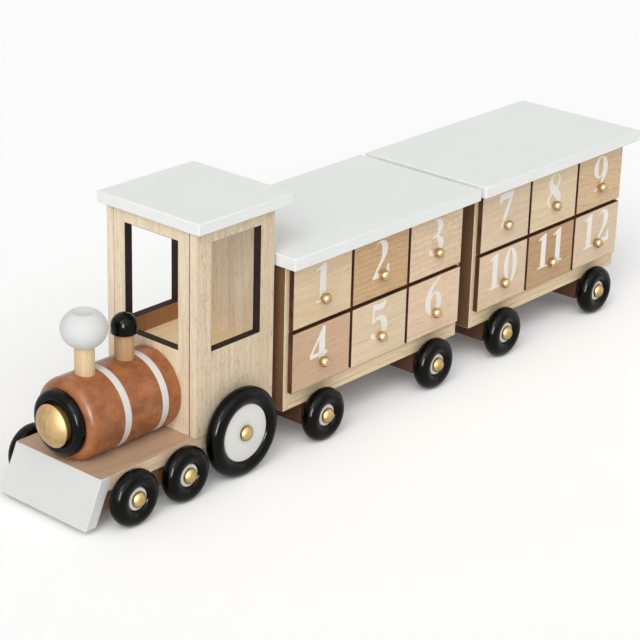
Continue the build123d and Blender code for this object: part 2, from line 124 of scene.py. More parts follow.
def make_wood_figure():
    """Growth rings round a pith along X, streaks, fibres, short dark pores and a slow change of tone."""
    tree, given, result = node_group(
        "wood_figure",
        (("Vector", "Vector"), ("Pale", "Color"), ("Dark", "Color"),
         ("Rings", "Float"), ("Fibre", "Float"), ("Pores", "Float")),
        (("Color", "Color"), ("Roughness", "Float"), ("Height", "Float")),
    )
    vector = given["Vector"]
    drift = cloud(tree, vector, (0.007, 0.018, 0.018), 2).outputs["Color"]
    drift = plug(tree, "ShaderNodeVectorMath", {"operation": "SUBTRACT"}, {0: drift, 1: (0.5, 0.5, 0.5)})
    bent = plug(tree, "ShaderNodeVectorMath", {"operation": "MULTIPLY_ADD"},
                {0: drift.outputs[0], 1: (0.0, 9.0, 9.0), 2: vector}).outputs[0]
    rings = plug(tree, "ShaderNodeTexWave",
                 {"wave_type": "RINGS", "rings_direction": "X", "wave_profile": "SAW"},
                 {"Vector": bent, "Scale": 0.075, "Distortion": 0.35, "Detail": 2.0, "Detail Scale": 2.0})
    late = sum_up(tree, "POWER", rings.outputs["Fac"], 2.6)
    streak = cloud(tree, bent, (0.006, 0.30, 0.30), 3, 0.6).outputs[0]
    fibre = cloud(tree, bent, (0.016, 1.5, 1.5), 4, 0.65).outputs[0]
    speck = cloud(tree, bent, (0.13, 2.4, 2.4), 1).outputs[0]
    pore = between(tree, speck, 0.62, 0.72)
    patch = cloud(tree, vector, (0.006, 0.02, 0.02), 2).outputs[0]
    shade = sway(tree, 0.42, late, middle=0.28, gain=given["Rings"])
    shade = sway(tree, shade, fibre, middle=0.5, gain=given["Fibre"])
    shade = sway(tree, shade, streak, middle=0.5, gain=given["Fibre"])
    shade = sway(tree, shade, patch, middle=0.5, gain=0.7)
    shade = plug(tree, "ShaderNodeClamp", None, {"Value": shade}).outputs[0]
    body = blend(tree, shade, given["Pale"], given["Dark"])
    deep = plug(tree, "ShaderNodeMix", {"data_type": "RGBA", "blend_type": "MULTIPLY"},
                {0: 1.0, 6: given["Dark"], 7: (0.62, 0.52, 0.42, 1.0)}).outputs[2]
    colour = blend(tree, sum_up(tree, "MULTIPLY", pore, given["Pores"]), body, deep)
    rough = sum_up(tree, "MULTIPLY_ADD", fibre, 0.22, 0.46)
    height = sum_up(tree, "SUBTRACT", fibre, sum_up(tree, "MULTIPLY", pore, given["Pores"]))
    for label, socket in (("Color", colour), ("Roughness", rough), ("Height", height)):
        tree.links.new(socket, result[label])
    return tree


wood_figure = make_wood_figure()


def finish(name):
    """A new material; gives it, its node tree and its shader."""
    material = bpy.data.materials.new(name)
    material.use_nodes = True
    return material, material.node_tree, material.node_tree.nodes["Principled BSDF"]


def pattern_space(tree, turn=(0, 0, 0), shift=(0, 0, 0)):
    """Object coordinates in millimetres, turned by degrees and then shifted."""
    where = plug(tree, "ShaderNodeTexCoord")
    return plug(tree, "ShaderNodeMapping", {"vector_type": "POINT"}, {
        "Vector": where.outputs["Object"], "Location": shift,
        "Rotation": [math.radians(angle) for angle in turn], "Scale": (1 / millimetre,) * 3,
    }).outputs[0]


def feed(tree, shader, colour, rough, height, depth, strength=0.5):
    """Lead a finish into the shader: its colour, its roughness, and its height as a bump that deep."""
    bump = plug(tree, "ShaderNodeBump", None, {
        "Strength": strength, "Distance": depth * millimetre, "Height": height,
    })
    tree.links.new(colour, shader.inputs["Base Color"])
    tree.links.new(rough, shader.inputs["Roughness"])
    tree.links.new(bump.outputs["Normal"], shader.inputs["Normal"])


pale_grain = (1.10, 1.12, 1.16, 1)
dark_grain = (0.82, 0.76, 0.68, 1)


def wood(name, tone, grain="X", pith=(0, 40, 30), tilt=2.5, rings=0.5, fibre=1.1, pores=0.5):
    """Bare sanded wood: its middle tone, the way the grain runs, and where the heart of the log lies."""
    material, tree, shader = finish(name)
    turn = {"X": (0, 0, tilt), "Y": (0, 0, tilt - 90), "Z": (tilt, 90, 0)}[grain]
    group = plug(tree, "ShaderNodeGroup", {"node_tree": wood_figure}, {
        "Vector": pattern_space(tree, turn, pith),
        "Pale": tuple(min(1.0, part * gain) for part, gain in zip(tone, pale_grain)),
        "Dark": tuple(part * gain for part, gain in zip(tone, dark_grain)),
        "Rings": rings, "Fibre": fibre, "Pores": pores,
    })
    feed(tree, shader, *group.outputs, depth=0.12)
    shader.inputs["Specular IOR Level"].default_value = 0.3
    return material


def trace(bm, stops, across=Vector((1, 0, 0)), closed=True):
    """Draw an outline in an upright plane, X to the right unless told otherwise. A stop is a corner,
    (x, z), or an arc about a centre, (x, z, degrees), which carries on from the stop before it."""
    up = Vector((0, 0, 1))
    first = last = None
    for stop in stops:
        spot = across * stop[0] + up * stop[1]
        if len(stop) == 2:
            corner = bm.verts.new(spot)
            if last:
                bm.edges.new((last, corner))
            first, last = first or corner, corner
        else:
            swept = bmesh.ops.spin(
                bm, geom=[last], cent=spot, axis=up.cross(across), dvec=(0, 0, 0),
                angle=math.radians(stop[2]), steps=max(3, round(abs(stop[2]) / 7.5)),
                use_merge=False, use_duplicate=False,
            )
            last = next(part for part in swept["geom_last"] if isinstance(part, bmesh.types.BMVert))
    if closed:
        bm.edges.new((last, first))


def plate(outlines, across, start, thickness):
    """Saw a flat plate: the first outline is its edge, the others are holes right through it."""
    bm = bmesh.new()
    through = Vector((0, 0, 1)).cross(across)
    for stops in outlines:
        trace(bm, stops, across)
    bmesh.ops.translate(bm, vec=through * start, verts=bm.verts)
    bmesh.ops.triangle_fill(bm, use_beauty=True, use_dissolve=False, edges=bm.edges[:])
    pushed = bmesh.ops.extrude_face_region(bm, geom=bm.faces[:])
    far = [part for part in pushed["geom"] if isinstance(part, bmesh.types.BMVert)]
    bmesh.ops.translate(bm, vec=through * thickness, verts=far)
    bmesh.ops.dissolve_limit(bm, angle_limit=math.radians(1), verts=bm.verts, edges=bm.edges,
                             use_dissolve_boundaries=False)
    bmesh.ops.recalc_face_normals(bm, faces=bm.faces)
    return bm


def ease_edges(bm, radius, segments=2, sharper_than=40, spare=lambda edge: False):
    """Round off every sharp edge a little, as sanding does, apart from those to spare."""
    sharp = [edge for edge in bm.edges
             if edge.is_manifold and edge.calc_face_angle() > math.radians(sharper_than) and not spare(edge)]
    eased = bmesh.ops.bevel(bm, geom=sharp, offset=radius, offset_type="OFFSET", affect="EDGES",
                            segments=segments, profile=0.5, material=-1, clamp_overlap=True)
    for face in eased["faces"]:
        face.smooth = True


def coat_faces(bm, place_in_list, chosen):
    """Give the chosen faces another of the piece's materials, by its place in the list."""
    for face in bm.faces:
        if chosen(face):
            face.material_index = place_in_list


def hand_over(bm, name, body, materials, stands_for=()):
    """Make a finished bmesh, in millimetres, a piece that rides on a body of the frame."""
    bmesh.ops.scale(bm, vec=(millimetre,) * 3, verts=bm.verts)
    mesh = bpy.data.meshes.new(name)
    bm.to_mesh(mesh)
    bm.free()
    for material in materials:
        mesh.materials.append(material)
    piece = bpy.data.objects.new(name, mesh)
    bpy.context.scene.collection.objects.link(piece)
    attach(piece, body)
    if stands_for:
        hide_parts(*stands_for)
    return piece


along = Vector((1, 0, 0))
cowcatcher_low, cowcatcher_high = place("cowcatcher")
board_thickness = 9.8
rake = (cowcatcher_high.x - cowcatcher_low.x - board_thickness) / (cowcatcher_high.z - cowcatcher_low.z)
deck_wood = wood("deck_wood", tint(186, 158, 131), "X", (0, 10, 90), rings=0.25, fibre=1.0)
frame_wood = wood("frame_wood", tint(228, 206, 172), "X", (0, 20, 45), rings=0.3)
low, high = place("footplate")
axle_low, axle_high = place("loco_rear_wheelset")
rear_axle = (axle_low + axle_high) / 2
slot_half = 3.08
footplate = plate([[
    (low.x, low.z), (low.x + rake * (high.z - low.z), high.z), (rear_axle.x - slot_half, high.z),
    (rear_axle.x - slot_half, rear_axle.z), (rear_axle.x, rear_axle.z, -180),
    (rear_axle.x + slot_half, high.z), (high.x, high.z), (high.x, low.z),
]], along, low.y, high.y - low.y)
seam_slack = 0.2
flush_end = low.x + rake * (high.z - low.z) + seam_slack
ease_edges(footplate, radius=0.5, sharper_than=60,
           spare=lambda edge: max(vert.co.x for vert in edge.verts) < flush_end)
square_on = 0.95  # the cosine past which a face counts as square to a direction
coat_faces(footplate, 1, lambda face: abs(face.normal.y) > square_on)
hand_over(footplate, "footplate_board", "locomotive", [deck_wood, frame_wood], ["footplate"])

# Underframe
# A block of wood glued under the footplate, bored across for the front and middle axles. Its darker
# tone is painted shade under the footplate.
# It stays as the frame has it, and only gets its wood.


def dress(node, material):
    """Give a node of the frame its finish and leave its shape alone."""
    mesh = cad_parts[node].data
    mesh.materials.clear()
    mesh.materials.append(material)


# Painted shade: a darker brown than the footplate, for the shade under it.
underframe_shaded_wood = wood("underframe_shaded_wood", tint(148, 112, 78), "X", (0, 20, 45), rings=0.3)
dress("underframe", underframe_shaded_wood)

# Cowcatcher
# A raked board glued across the nose. Front, ends and back are sprayed matt white; the top edge was
# planed flush with the footplate after painting and shows bare wood.


def make_paint_film():
    """A sprayed coat: faint clouds in its tone, a fine orange peel and an uneven sheen."""
    tree, given, result = node_group(
        "paint_film",
        (("Vector", "Vector"), ("Coat", "Color"), ("Clouding", "Float"), ("Sheen", "Float")),
        (("Color", "Color"), ("Roughness", "Float"), ("Height", "Float")),
    )
    slow = cloud(tree, given["Vector"], (0.03, 0.03, 0.03), 3).outputs[0]
    peel = cloud(tree, given["Vector"], (0.9, 0.9, 0.9), 2).outputs[0]
    thin = between(tree, slow, 0.35, 0.75)
    dull = plug(tree, "ShaderNodeMix", {"data_type": "RGBA", "blend_type": "MULTIPLY"},
                {0: sum_up(tree, "MULTIPLY", thin, given["Clouding"]), 6: given["Coat"],
                 7: (0.80, 0.79, 0.77, 1.0)}).outputs[2]
    rough = sway(tree, given["Sheen"], peel, middle=0.5, gain=0.12)
    rough = sway(tree, rough, slow, middle=0.5, gain=0.16)
    for label, socket in (("Color", dull), ("Roughness", rough), ("Height", peel)):
        tree.links.new(socket, result[label])
    return tree


paint_film = make_paint_film()


def paint(name, coat, sheen, clouding, depth, specular):
    """A painted finish: its colour, how rough it dries, how cloudy it is, and its gloss."""
    material, tree, shader = finish(name)
    group = plug(tree, "ShaderNodeGroup", {"node_tree": paint_film}, {
        "Vector": pattern_space(tree), "Coat": coat, "Clouding": clouding, "Sheen": sheen,
    })
    feed(tree, shader, *group.outputs, depth=depth)
    shader.inputs["Specular IOR Level"].default_value = specular
    return material


nose_white = paint("nose_white", tint(210, 211, 210), sheen=0.6, clouding=0.08, depth=0.02, specular=0.2)
low, high = cowcatcher_low, cowcatcher_high
cowcatcher = plate([[
    (low.x, low.z), (high.x - board_thickness, high.z),
    (high.x, high.z), (low.x + board_thickness, low.z),
]], along, low.y, high.y - low.y)
ease_edges(cowcatcher, radius=0.6,
           spare=lambda edge: min(vert.co.x for vert in edge.verts) > high.x - seam_slack / 2)
coat_faces(cowcatcher, 1, lambda face: face.normal.z > square_on)
hand_over(cowcatcher, "cowcatcher_board", "locomotive", [nose_white, deck_wood],
          ["cowcatcher"])

# Boiler
# A log turned on the lathe with a rounded front, stained brown and waxed, then painted with two white
# bands while it still spins. It is planed flat below, where it is glued to the footplate.


def quarter_turn(axis, times=1):
    """A turn by right angles about an axis."""
    return Matrix.Rotation(math.radians(90 * times), 4, axis)


def turned(stops, closed=False, steps=96):
    """Turn a piece on the lathe: a half outline of (radius, height) stops, spun about Z."""
    bm = bmesh.new()
    trace(bm, stops, closed=closed)
    bmesh.ops.spin(bm, geom=bm.verts[:] + bm.edges[:], cent=(0, 0, 0), axis=(0, 0, 1), dvec=(0, 0, 0),
                   angle=math.tau, steps=steps, use_merge=True, use_duplicate=False)
    bmesh.ops.remove_doubles(bm, verts=bm.verts, dist=0.0005)
    bmesh.ops.recalc_face_normals(bm, faces=bm.faces)
    for face in bm.faces:
        face.smooth = True
    return bm


def hold_creases(piece, degrees=35):
    """Keep the sharp turns of a smooth piece crisp."""
    piece.data.set_sharp_from_angle(angle=math.radians(degrees))
    return piece


stained_wood, tree, shader = finish("stained_wood")
vector = pattern_space(tree)
blotch = cloud(tree, vector, (0.07, 0.09, 0.09), 5, 0.62).outputs[0]
stain = blend(tree, between(tree, blotch, 0.34, 0.68), tint(176, 112, 69), tint(130, 77, 44))
line = cloud(tree, vector, (0.025, 0.6, 0.6), 3, 0.6).outputs[0]
stain = blend(tree, between(tree, line, 0.48, 0.78, most=0.3), stain, tint(110, 64, 38))
knot = cloud(tree, vector, (0.22, 0.30, 0.30), 2).outputs[0]
stain = blend(tree, between(tree, knot, 0.66, 0.78, most=0.6), stain, tint(92, 52, 32))
feed(tree, shader, stain, rough=sum_up(tree, "MULTIPLY_ADD", blotch, 0.3, 0.16),
     height=sum_up(tree, "MULTIPLY_ADD", line, 0.2, blotch), depth=0.35)
shader.inputs["Specular IOR Level"].default_value = 0.28
band_paint = paint("band_paint", tint(214, 212, 209), sheen=0.55, clouding=0.2, depth=0.03, specular=0.25)
low, high = place("boiler")
boiler_radius = (high.y - low.y) / 2
boiler_length = high.x - low.x
boiler_front = Vector((low.x, 0, high.z - boiler_radius))
front_round = 7.0
rear_round = 1.5
band_starts = (28.4, 62.0)
band_width = 5.6
paint_build = 0.1
lathe = [(0, 0), (boiler_radius - front_round, 0), (boiler_radius - front_round, front_round, -90)]
for band_start in band_starts:
    band_end = band_start + band_width
    lathe += [(boiler_radius, band_start), (boiler_radius + paint_build, band_start),
              (boiler_radius + paint_build, band_end), (boiler_radius, band_end)]
lathe += [(boiler_radius, boiler_length - rear_round),
          (boiler_radius - rear_round, boiler_length - rear_round, -90), (0, boiler_length)]
boiler = turned(lathe, steps=128)
for band_start in band_starts:
    coat_faces(boiler, 1, lambda face: band_start < face.calc_center_median().z < band_start + band_width)
on_boiler_axis = Matrix.Translation(boiler_front) @ quarter_turn("Y")
bmesh.ops.transform(boiler, matrix=on_boiler_axis, verts=boiler.verts)
planed = bmesh.ops.bisect_plane(
    boiler, geom=boiler.verts[:] + boiler.edges[:] + boiler.faces[:],
    plane_co=(0, 0, low.z), plane_no=(0, 0, 1), clear_inner=True,
)
rim = [part for part in planed["geom_cut"] if isinstance(part, bmesh.types.BMEdge)]
bmesh.ops.contextual_create(boiler, geom=rim)
bmesh.ops.recalc_face_normals(boiler, faces=boiler.faces)
hold_creases(hand_over(boiler, "boiler_log", "locomotive", [stained_wood, band_paint],
                       ["boiler"]))

# Smokebox ring
# A wooden ring turned with a round section and a flat back, lacquered black all over. It is glued by
# its back on the front of the boiler, round the lamp's spigot.
black_gloss = paint("black_gloss", tint(5, 5, 4), sheen=0.15, clouding=0.2, depth=0.003, specular=0.12)
ring_tube = 5.0
ring_middle = 17.8
ring_reach = -2.5
ring_half = math.sqrt(ring_tube**2 - ring_reach**2)
ring_sweep = 360 - 2 * math.degrees(math.acos(-ring_reach / ring_tube))
smokebox_ring = turned([(ring_middle + ring_half, 0), (ring_middle, ring_reach, ring_sweep)], closed=True)
bmesh.ops.transform(smokebox_ring, matrix=on_boiler_axis, verts=smokebox_ring.verts)
hold_creases(hand_over(smokebox_ring, "smokebox_ring_turned", "locomotive", [black_gloss],
                       ["smokebox_ring"]))

# Headlamp
# A domed wooden disc on a spigot through the ring, painted in an old-gold metallic and rubbed down,
# so that fine strokes run across it.


def gilt(name, bright, dull, strokes, rough, metallic):
    """Gold paint: where it is bright and where it is rubbed dull, the way the strokes run, its gloss."""
    material, tree, shader = finish(name)
    vector = pattern_space(tree)
    stroke = cloud(tree, vector, strokes, 3, 0.6).outputs[0]
    patch = cloud(tree, vector, (0.12, 0.12, 0.12), 3).outputs[0]
    rubbed = sum_up(tree, "MULTIPLY_ADD", patch, 0.6, sum_up(tree, "MULTIPLY", stroke, 0.4))
    worn = between(tree, rubbed, 0.38, 0.66)
    sheen = sum_up(tree, "MULTIPLY_ADD", worn, 0.18, rough)
    feed(tree, shader, blend(tree, worn, bright, dull), sheen, stroke, depth=0.03, strength=0.4)
    shader.inputs["Metallic"].default_value = metallic
    return material


lamp_gold = gilt("lamp_gold", bright=tint(195, 166, 114), dull=tint(158, 127, 80),
                 strokes=(0.3, 0.5, 0.06), rough=0.36, metallic=0.6)
lamp_rim_radius = 14.8
lamp_spigot = 12.2
lamp_back = -9.2
lamp_rim = -10.2
lamp_rise = 6.2
lamp_curve = (lamp_rim_radius**2 + lamp_rise**2) / (2 * lamp_rise)
lamp_sweep = math.degrees(math.asin(lamp_rim_radius / lamp_curve))
headlamp = turned([
    (0, 0), (lamp_spigot, 0), (lamp_spigot, lamp_back), (lamp_rim_radius, lamp_back),
    (lamp_rim_radius, lamp_rim), (0, lamp_rim - lamp_rise + lamp_curve, lamp_sweep),
])
ease_edges(headlamp, radius=0.45, segments=3)
bmesh.ops.transform(headlamp, matrix=on_boiler_axis, verts=headlamp.verts)
hold_creases(hand_over(headlamp, "headlamp_disc", "locomotive", [lamp_gold], ["headlamp"]))

# Boiler posts
# Two dowels of bare wood glued into holes in the boiler: a pale one carries the chimney, and a darker
# one carries the dome.
dowel_wood = wood("dowel_wood", tint(215, 190, 149), "Z", (0, 25, 12), rings=0.35, pores=0.25)
dome_dowel_wood = wood("dome_dowel_wood", tint(186, 150, 107), "Z", (0, 18, 20), rings=0.35, pores=0.3)
post_radius = 6.7
post_clearance = 0.5
low, high = place("boiler_posts")
post_top = high.z - post_clearance
posts = bmesh.new()
for which, topped in enumerate(("chimney_ball", "dome_cap")):
    corner, opposite = place(topped)
    dowel = turned([(0, low.z), (post_radius, low.z), (post_radius, post_top), (0, post_top)], steps=48)
    ease_edges(dowel, radius=0.4)
    coat_faces(dowel, which, lambda face: True)
    bmesh.ops.translate(dowel, vec=((corner.x + opposite.x) / 2, 0, 0), verts=dowel.verts)
    made = bpy.data.meshes.new("dowel")
    dowel.to_mesh(made)
    dowel.free()
    posts.from_mesh(made)
    bpy.data.meshes.remove(made)
hold_creases(hand_over(posts, "boiler_post_dowels", "locomotive",
                       [dowel_wood, dome_dowel_wood], ["boiler_posts"]))

# Chimney ball
# A flattened wooden bead bored from below for its post. Its top is cut flat and hollowed to a
# shallow dish, and it is dipped in white paint.
low, high = place("chimney_ball")
ball_radius = (high.x - low.x) / 2
chimney_x = (high.x + low.x) / 2
ball_half_height = 13.8
squash = ball_half_height / ball_radius
ball_flat = 7.8
ball_dish = 1.6 / squash
bore = post_radius + 0.05
bore_depth = 6.0
bore_end = bore_depth / squash
ball_rise = math.sqrt(ball_radius**2 - ball_flat**2)
ball_foot = -math.sqrt(ball_radius**2 - bore**2)
ball_sweep = math.degrees(math.atan2(ball_rise, ball_flat) - math.atan2(ball_foot, bore))
dish_curve = (ball_flat**2 + ball_dish**2) / (2 * ball_dish)
chimney_ball = turned([
    (0, ball_foot + bore_end), (bore, ball_foot + bore_end), (bore, ball_foot), (0, 0, -ball_sweep),
    (0, ball_rise - ball_dish + dish_curve, math.degrees(math.asin(ball_flat / dish_curve))),
], steps=72)
bmesh.ops.scale(chimney_ball, vec=(1, 1, squash), verts=chimney_ball.verts)
ease_edges(chimney_ball, radius=0.9, segments=3)
bmesh.ops.translate(chimney_ball, vec=(chimney_x, 0, high.z - ball_rise * squash), verts=chimney_ball.verts)
hold_creases(hand_over(chimney_ball, "chimney_bead", "locomotive", [nose_white],
                       ["chimney_ball"]))

# Dome cap
# A wooden thimble turned with a round top and bored from below, lacquered black like the ring. It is
# glued over the second post.
low, high = place("dome_cap")
dome_radius = (high.x - low.x) / 2
dome_skirt = high.z - low.z - dome_radius
dome_cap = turned([
    (0, bore_depth), (bore, bore_depth), (bore, 0), (dome_radius, 0),
    (dome_radius, dome_skirt), (0, dome_skirt, -90),
], steps=72)
ease_edges(dome_cap, radius=0.7, segments=3)
bmesh.ops.translate(dome_cap, vec=((low.x + high.x) / 2, 0, low.z), verts=dome_cap.verts)
hold_creases(hand_over(dome_cap, "dome_thimble", "locomotive", [black_gloss], ["dome_cap"]))

# Cab panels
# Four upright boards with the grain standing, bare outside. Inside the cab the side boards are darkened
# as painted shade, and the rear board is lightened as painted light. The side boards cover the ends of
# the front and rear ones. The windows were cut by laser, which leaves their edges scorched almost black.


def scorch(name, strokes, char=tint(28, 18, 15), toast=tint(56, 36, 27)):
    """A laser-cut edge: charred, with paler toasted lines where the beam ran."""
    material, tree, shader = finish(name)
    vector = pattern_space(tree)
    line = cloud(tree, vector, strokes, 3, 0.6).outputs[0]
    patch = cloud(tree, vector, (0.08, 0.08, 0.08), 2).outputs[0]
    burnt = sum_up(tree, "MULTIPLY_ADD", line, 0.6, sum_up(tree, "MULTIPLY", patch, 0.4))
    colour = blend(tree, between(tree, burnt, 0.40, 0.68), char, toast)
    feed(tree, shader, colour, sum_up(tree, "MULTIPLY_ADD", line, 0.2, 0.6), line, depth=0.08)
    shader.inputs["Specular IOR Level"].default_value = 0.2
    return material


cab_wood = wood("cab_wood", tint(233, 216, 188), "Z", (40, 90, 30),
                rings=0.2, fibre=1.0, pores=0.6)
cab_side_wood = wood("cab_side_wood", tint(217, 200, 172), "Z", (40, 90, 30),
                     rings=0.2, fibre=1.3, pores=1.0)
# The inner faces of the side boards are darkened brown as painted shade inside the cab.
cab_inner_shaded_wood = wood("cab_inner_shaded_wood", tint(158, 112, 74), "Z", (15, 70, 40),
                      rings=0.3, fibre=1.5, pores=0.6)
# The rear board's tone is raised as painted light, for the light that falls in through the windows onto its
# inner face.
cab_back_lit_wood = wood("cab_back_lit_wood", tint(254, 232, 204), "Z", (-30, 60, 75),
                     rings=0.25, fibre=1.0, pores=0.6)
across_scorch = scorch("scorched_across", strokes=(0.9, 0.12, 0.9))
along_scorch = scorch("scorched_along", strokes=(0.12, 0.9, 0.9))
window_sill = 96.0
window_top = 172.1
sideways = Vector((0, 1, 0))


def char_window(bm, direction, left, right):
    """Give the edges inside a window the second material."""
    through = Vector((0, 0, 1)).cross(direction)
    slack = 0.3

    def inside(face):
        middle = face.calc_center_median()
        beside = left - slack < middle.dot(direction) < right + slack
        level = window_sill - slack < middle.z < window_top + slack
        return beside and level and abs(face.normal.dot(through)) < square_on

    coat_faces(bm, 1, inside)


def opening(left, right):
    """The outline of a window between two uprights."""
    return [(left, window_sill), (right, window_sill), (right, window_top), (left, window_top)]


low, high = place("cab_front_panel")
front_window_half = 24.5
front_panel = plate(
    [[(low.y, low.z), (high.y, low.z), (high.y, high.z), (low.y, high.z)],
     opening(-front_window_half, front_window_half)],
    sideways, -high.x, high.x - low.x,
)
ease_edges(front_panel, radius=0.45)
char_window(front_panel, sideways, -front_window_half, front_window_half)
charred_ends = high.y - 0.4
coat_faces(front_panel, 1, lambda face: abs(face.calc_center_median().y) > charred_ends)
hand_over(front_panel, "cab_front_board", "locomotive", [cab_wood, along_scorch],
          ["cab_front_panel"])

low, high = place("cab_side_panels")
cab_wall = 6.5
middle_x = (low.x + high.x) / 2
side_window_half = 23.2
side_panels = plate(
    [[(low.x, low.z), (high.x, low.z), (high.x, high.z), (low.x, high.z)],
     opening(middle_x - side_window_half, middle_x + side_window_half)],
    along, low.y, cab_wall,
)
ease_edges(side_panels, radius=0.3)
char_window(side_panels, along, middle_x - side_window_half, middle_x + side_window_half)
coat_faces(side_panels, 2, lambda face: face.normal.x < -square_on and face.material_index == 0)
coat_faces(side_panels, 3, lambda face: face.normal.y > square_on)


def twin_of(bm):
    """Copy all that is in a bmesh, in place; gives the corners of the copy."""
    twin = bmesh.ops.duplicate(bm, geom=bm.verts[:] + bm.edges[:] + bm.faces[:])
    return [part for part in twin["geom"] if isinstance(part, bmesh.types.BMVert)]


bmesh.ops.scale(side_panels, vec=(1, -1, 1), verts=twin_of(side_panels))
bmesh.ops.recalc_face_normals(side_panels, faces=side_panels.faces)
hand_over(side_panels, "cab_side_boards", "locomotive",
          [cab_side_wood, across_scorch, cab_wood, cab_inner_shaded_wood], ["cab_side_panels"])


def add_board(bm, low, high):
    """Put a plain board between two corners into a bmesh."""
    made = bmesh.ops.create_cube(bm, size=1.0)
    bmesh.ops.scale(bm, vec=Vector(high) - Vector(low), verts=made["verts"])
    bmesh.ops.translate(bm, vec=(Vector(low) + Vector(high)) / 2, verts=made["verts"])


rear_panel = bmesh.new()
add_board(rear_panel, *place("cab_rear_panel"))
ease_edges(rear_panel, radius=0.3)
hand_over(rear_panel, "cab_rear_board", "locomotive", [cab_back_lit_wood], ["cab_rear_panel"])

# Cab base and cab floor
# Two boards inside the cab: a thick one on the footplate that holds the rear axle and the coupling
# peg, and a thin one under the window sills. Both stay as the frame has them.
inside_wood = wood("inside_wood", tint(244, 222, 180), "X", (0, 30, 70), rings=0.15, fibre=0.7, pores=0.3)
dress("cab_base", frame_wood)
dress("cab_floor", inside_wood)

# Cab roof
# A slab with softened edges, sprayed white all over, glued on top of the panels with its longest
# overhang to the rear.
roof_white = paint("roof_white", tint(231, 233, 231),
                   sheen=0.55, clouding=0.06, depth=0.02, specular=0.25)


def roof_slab(node, name, body):
    """A painted slab in the place of a roof of the frame, its edges rounded by sanding."""
    bm = bmesh.new()
    add_board(bm, *place(node))
    ease_edges(bm, radius=0.8, segments=3)
    return hand_over(bm, name, body, [roof_white], [node])


roof_slab("cab_roof", "cab_roof_slab", "locomotive")

# Couplings
# A dowel peg under the cab and one under the first carriage, each through the eye of a flat drawbar
# that is let into the axle block behind it. They stay as the frame has them.
for node in ("loco_hitch_peg", "car1_hitch_peg"):
    dress(node, dowel_wood)
for node in ("car1_drawbar", "car2_drawbar"):
    dress(node, frame_wood)

# Carriage bodies
# A thick plywood floor, whose edges show its layers, between two end boards. Below and on the ends it
# is brown, partly a brown stain and partly painted shade. Dividers and a shelf part the drawers, and two
# bored blocks under the floor hold the axles; both are darkened as painted shade. All of it is glued,
# and a white roof slab closes the top.
end_wood = wood("end_wood", tint(224, 202, 172), "Z", (20, 45, 40))
# The ends and the floor's underside take this brown: partly stain, partly painted shade in the gaps and under
# the floor.
end_stain_and_shade = wood("end_stain_and_shade", tint(124, 92, 62), "Z", (20, 70, 60), rings=0.3)
# The axle blocks' dark brown is painted shade under the floor.
block_shaded_wood = wood("block_shaded_wood", tint(98, 64, 37), "Y", (10, 25, 55), rings=0.3)
# The dividers' dark brown is painted shade in the recesses between the drawers.
divider_shaded_wood = wood("divider_shaded_wood", tint(150, 100, 62), "Y", (10, 25, 35))


def plywood(name, tone, layer_starts):
    """Plywood seen on its edge: pale layers along the grain, with thin dark glue lines between them."""
    material, tree, shader = finish(name)
    vector = pattern_space(tree, (0, 0, 1.5), (0, 30, 25))
    figure = plug(tree, "ShaderNodeGroup", {"node_tree": wood_figure}, {
        "Vector": vector, "Pale": tuple(min(1.0, part * 1.12) for part in tone),
        "Dark": tuple(part * gain for part, gain in zip(tone, dark_grain)),
        "Rings": 0.35, "Fibre": 1.2, "Pores": 0.4,
    })
    upright = plug(tree, "ShaderNodeSeparateXYZ", None, {0: pattern_space(tree)}).outputs["Z"]
    waver = cloud(tree, vector, (0.02, 0.1, 0.1), 2).outputs[0]
    upright = sway(tree, upright, waver, middle=0.5, gain=1.6)
    mask = None
    for start in layer_starts:
        near = sum_up(tree, "ABSOLUTE", sum_up(tree, "SUBTRACT", upright, start))
        line = between(tree, near, 0.6, 0.2)
        mask = line if mask is None else sum_up(tree, "MAXIMUM", mask, line)
    glue = blend(tree, sum_up(tree, "MULTIPLY", mask, 0.35), figure.outputs["Color"], tint(150, 112, 70))
    feed(tree, shader, glue, figure.outputs["Roughness"],
         sum_up(tree, "SUBTRACT", figure.outputs["Height"], mask), depth=0.15)
    shader.inputs["Specular IOR Level"].default_value = 0.35
    return material


floor_ply = plywood("floor_ply", tint(226, 206, 170), (34.3,))
for carriage in ("1", "2"):
    body = "carriage_" + carriage
    car = "car" + carriage
    floor = bmesh.new()
    add_board(floor, *place(car + "_floor"))
    ease_edges(floor, radius=0.4)
    coat_faces(floor, 1, lambda face: face.normal.z < -square_on)
    hand_over(floor, car + "_floor_board", body, [floor_ply, end_stain_and_shade], [car + "_floor"])
    low, high = place(car + "_end_panels")
    end_thickness = 4.6
    ends = bmesh.new()
    add_board(ends, low, (low.x + end_thickness, high.y, high.z))
    add_board(ends, (high.x - end_thickness, low.y, low.z), high)
    ease_edges(ends, radius=0.4)
    coat_faces(ends, 1, lambda face: abs(face.normal.x) > square_on)
    hand_over(ends, car + "_end_boards", body, [end_wood, end_stain_and_shade], [car + "_end_panels"])
    roof_slab(car + "_roof", car + "_roof_slab", body)
    dress(car + "_dividers", divider_shaded_wood)
    dress(car + "_axle_blocks", block_shaded_wood)

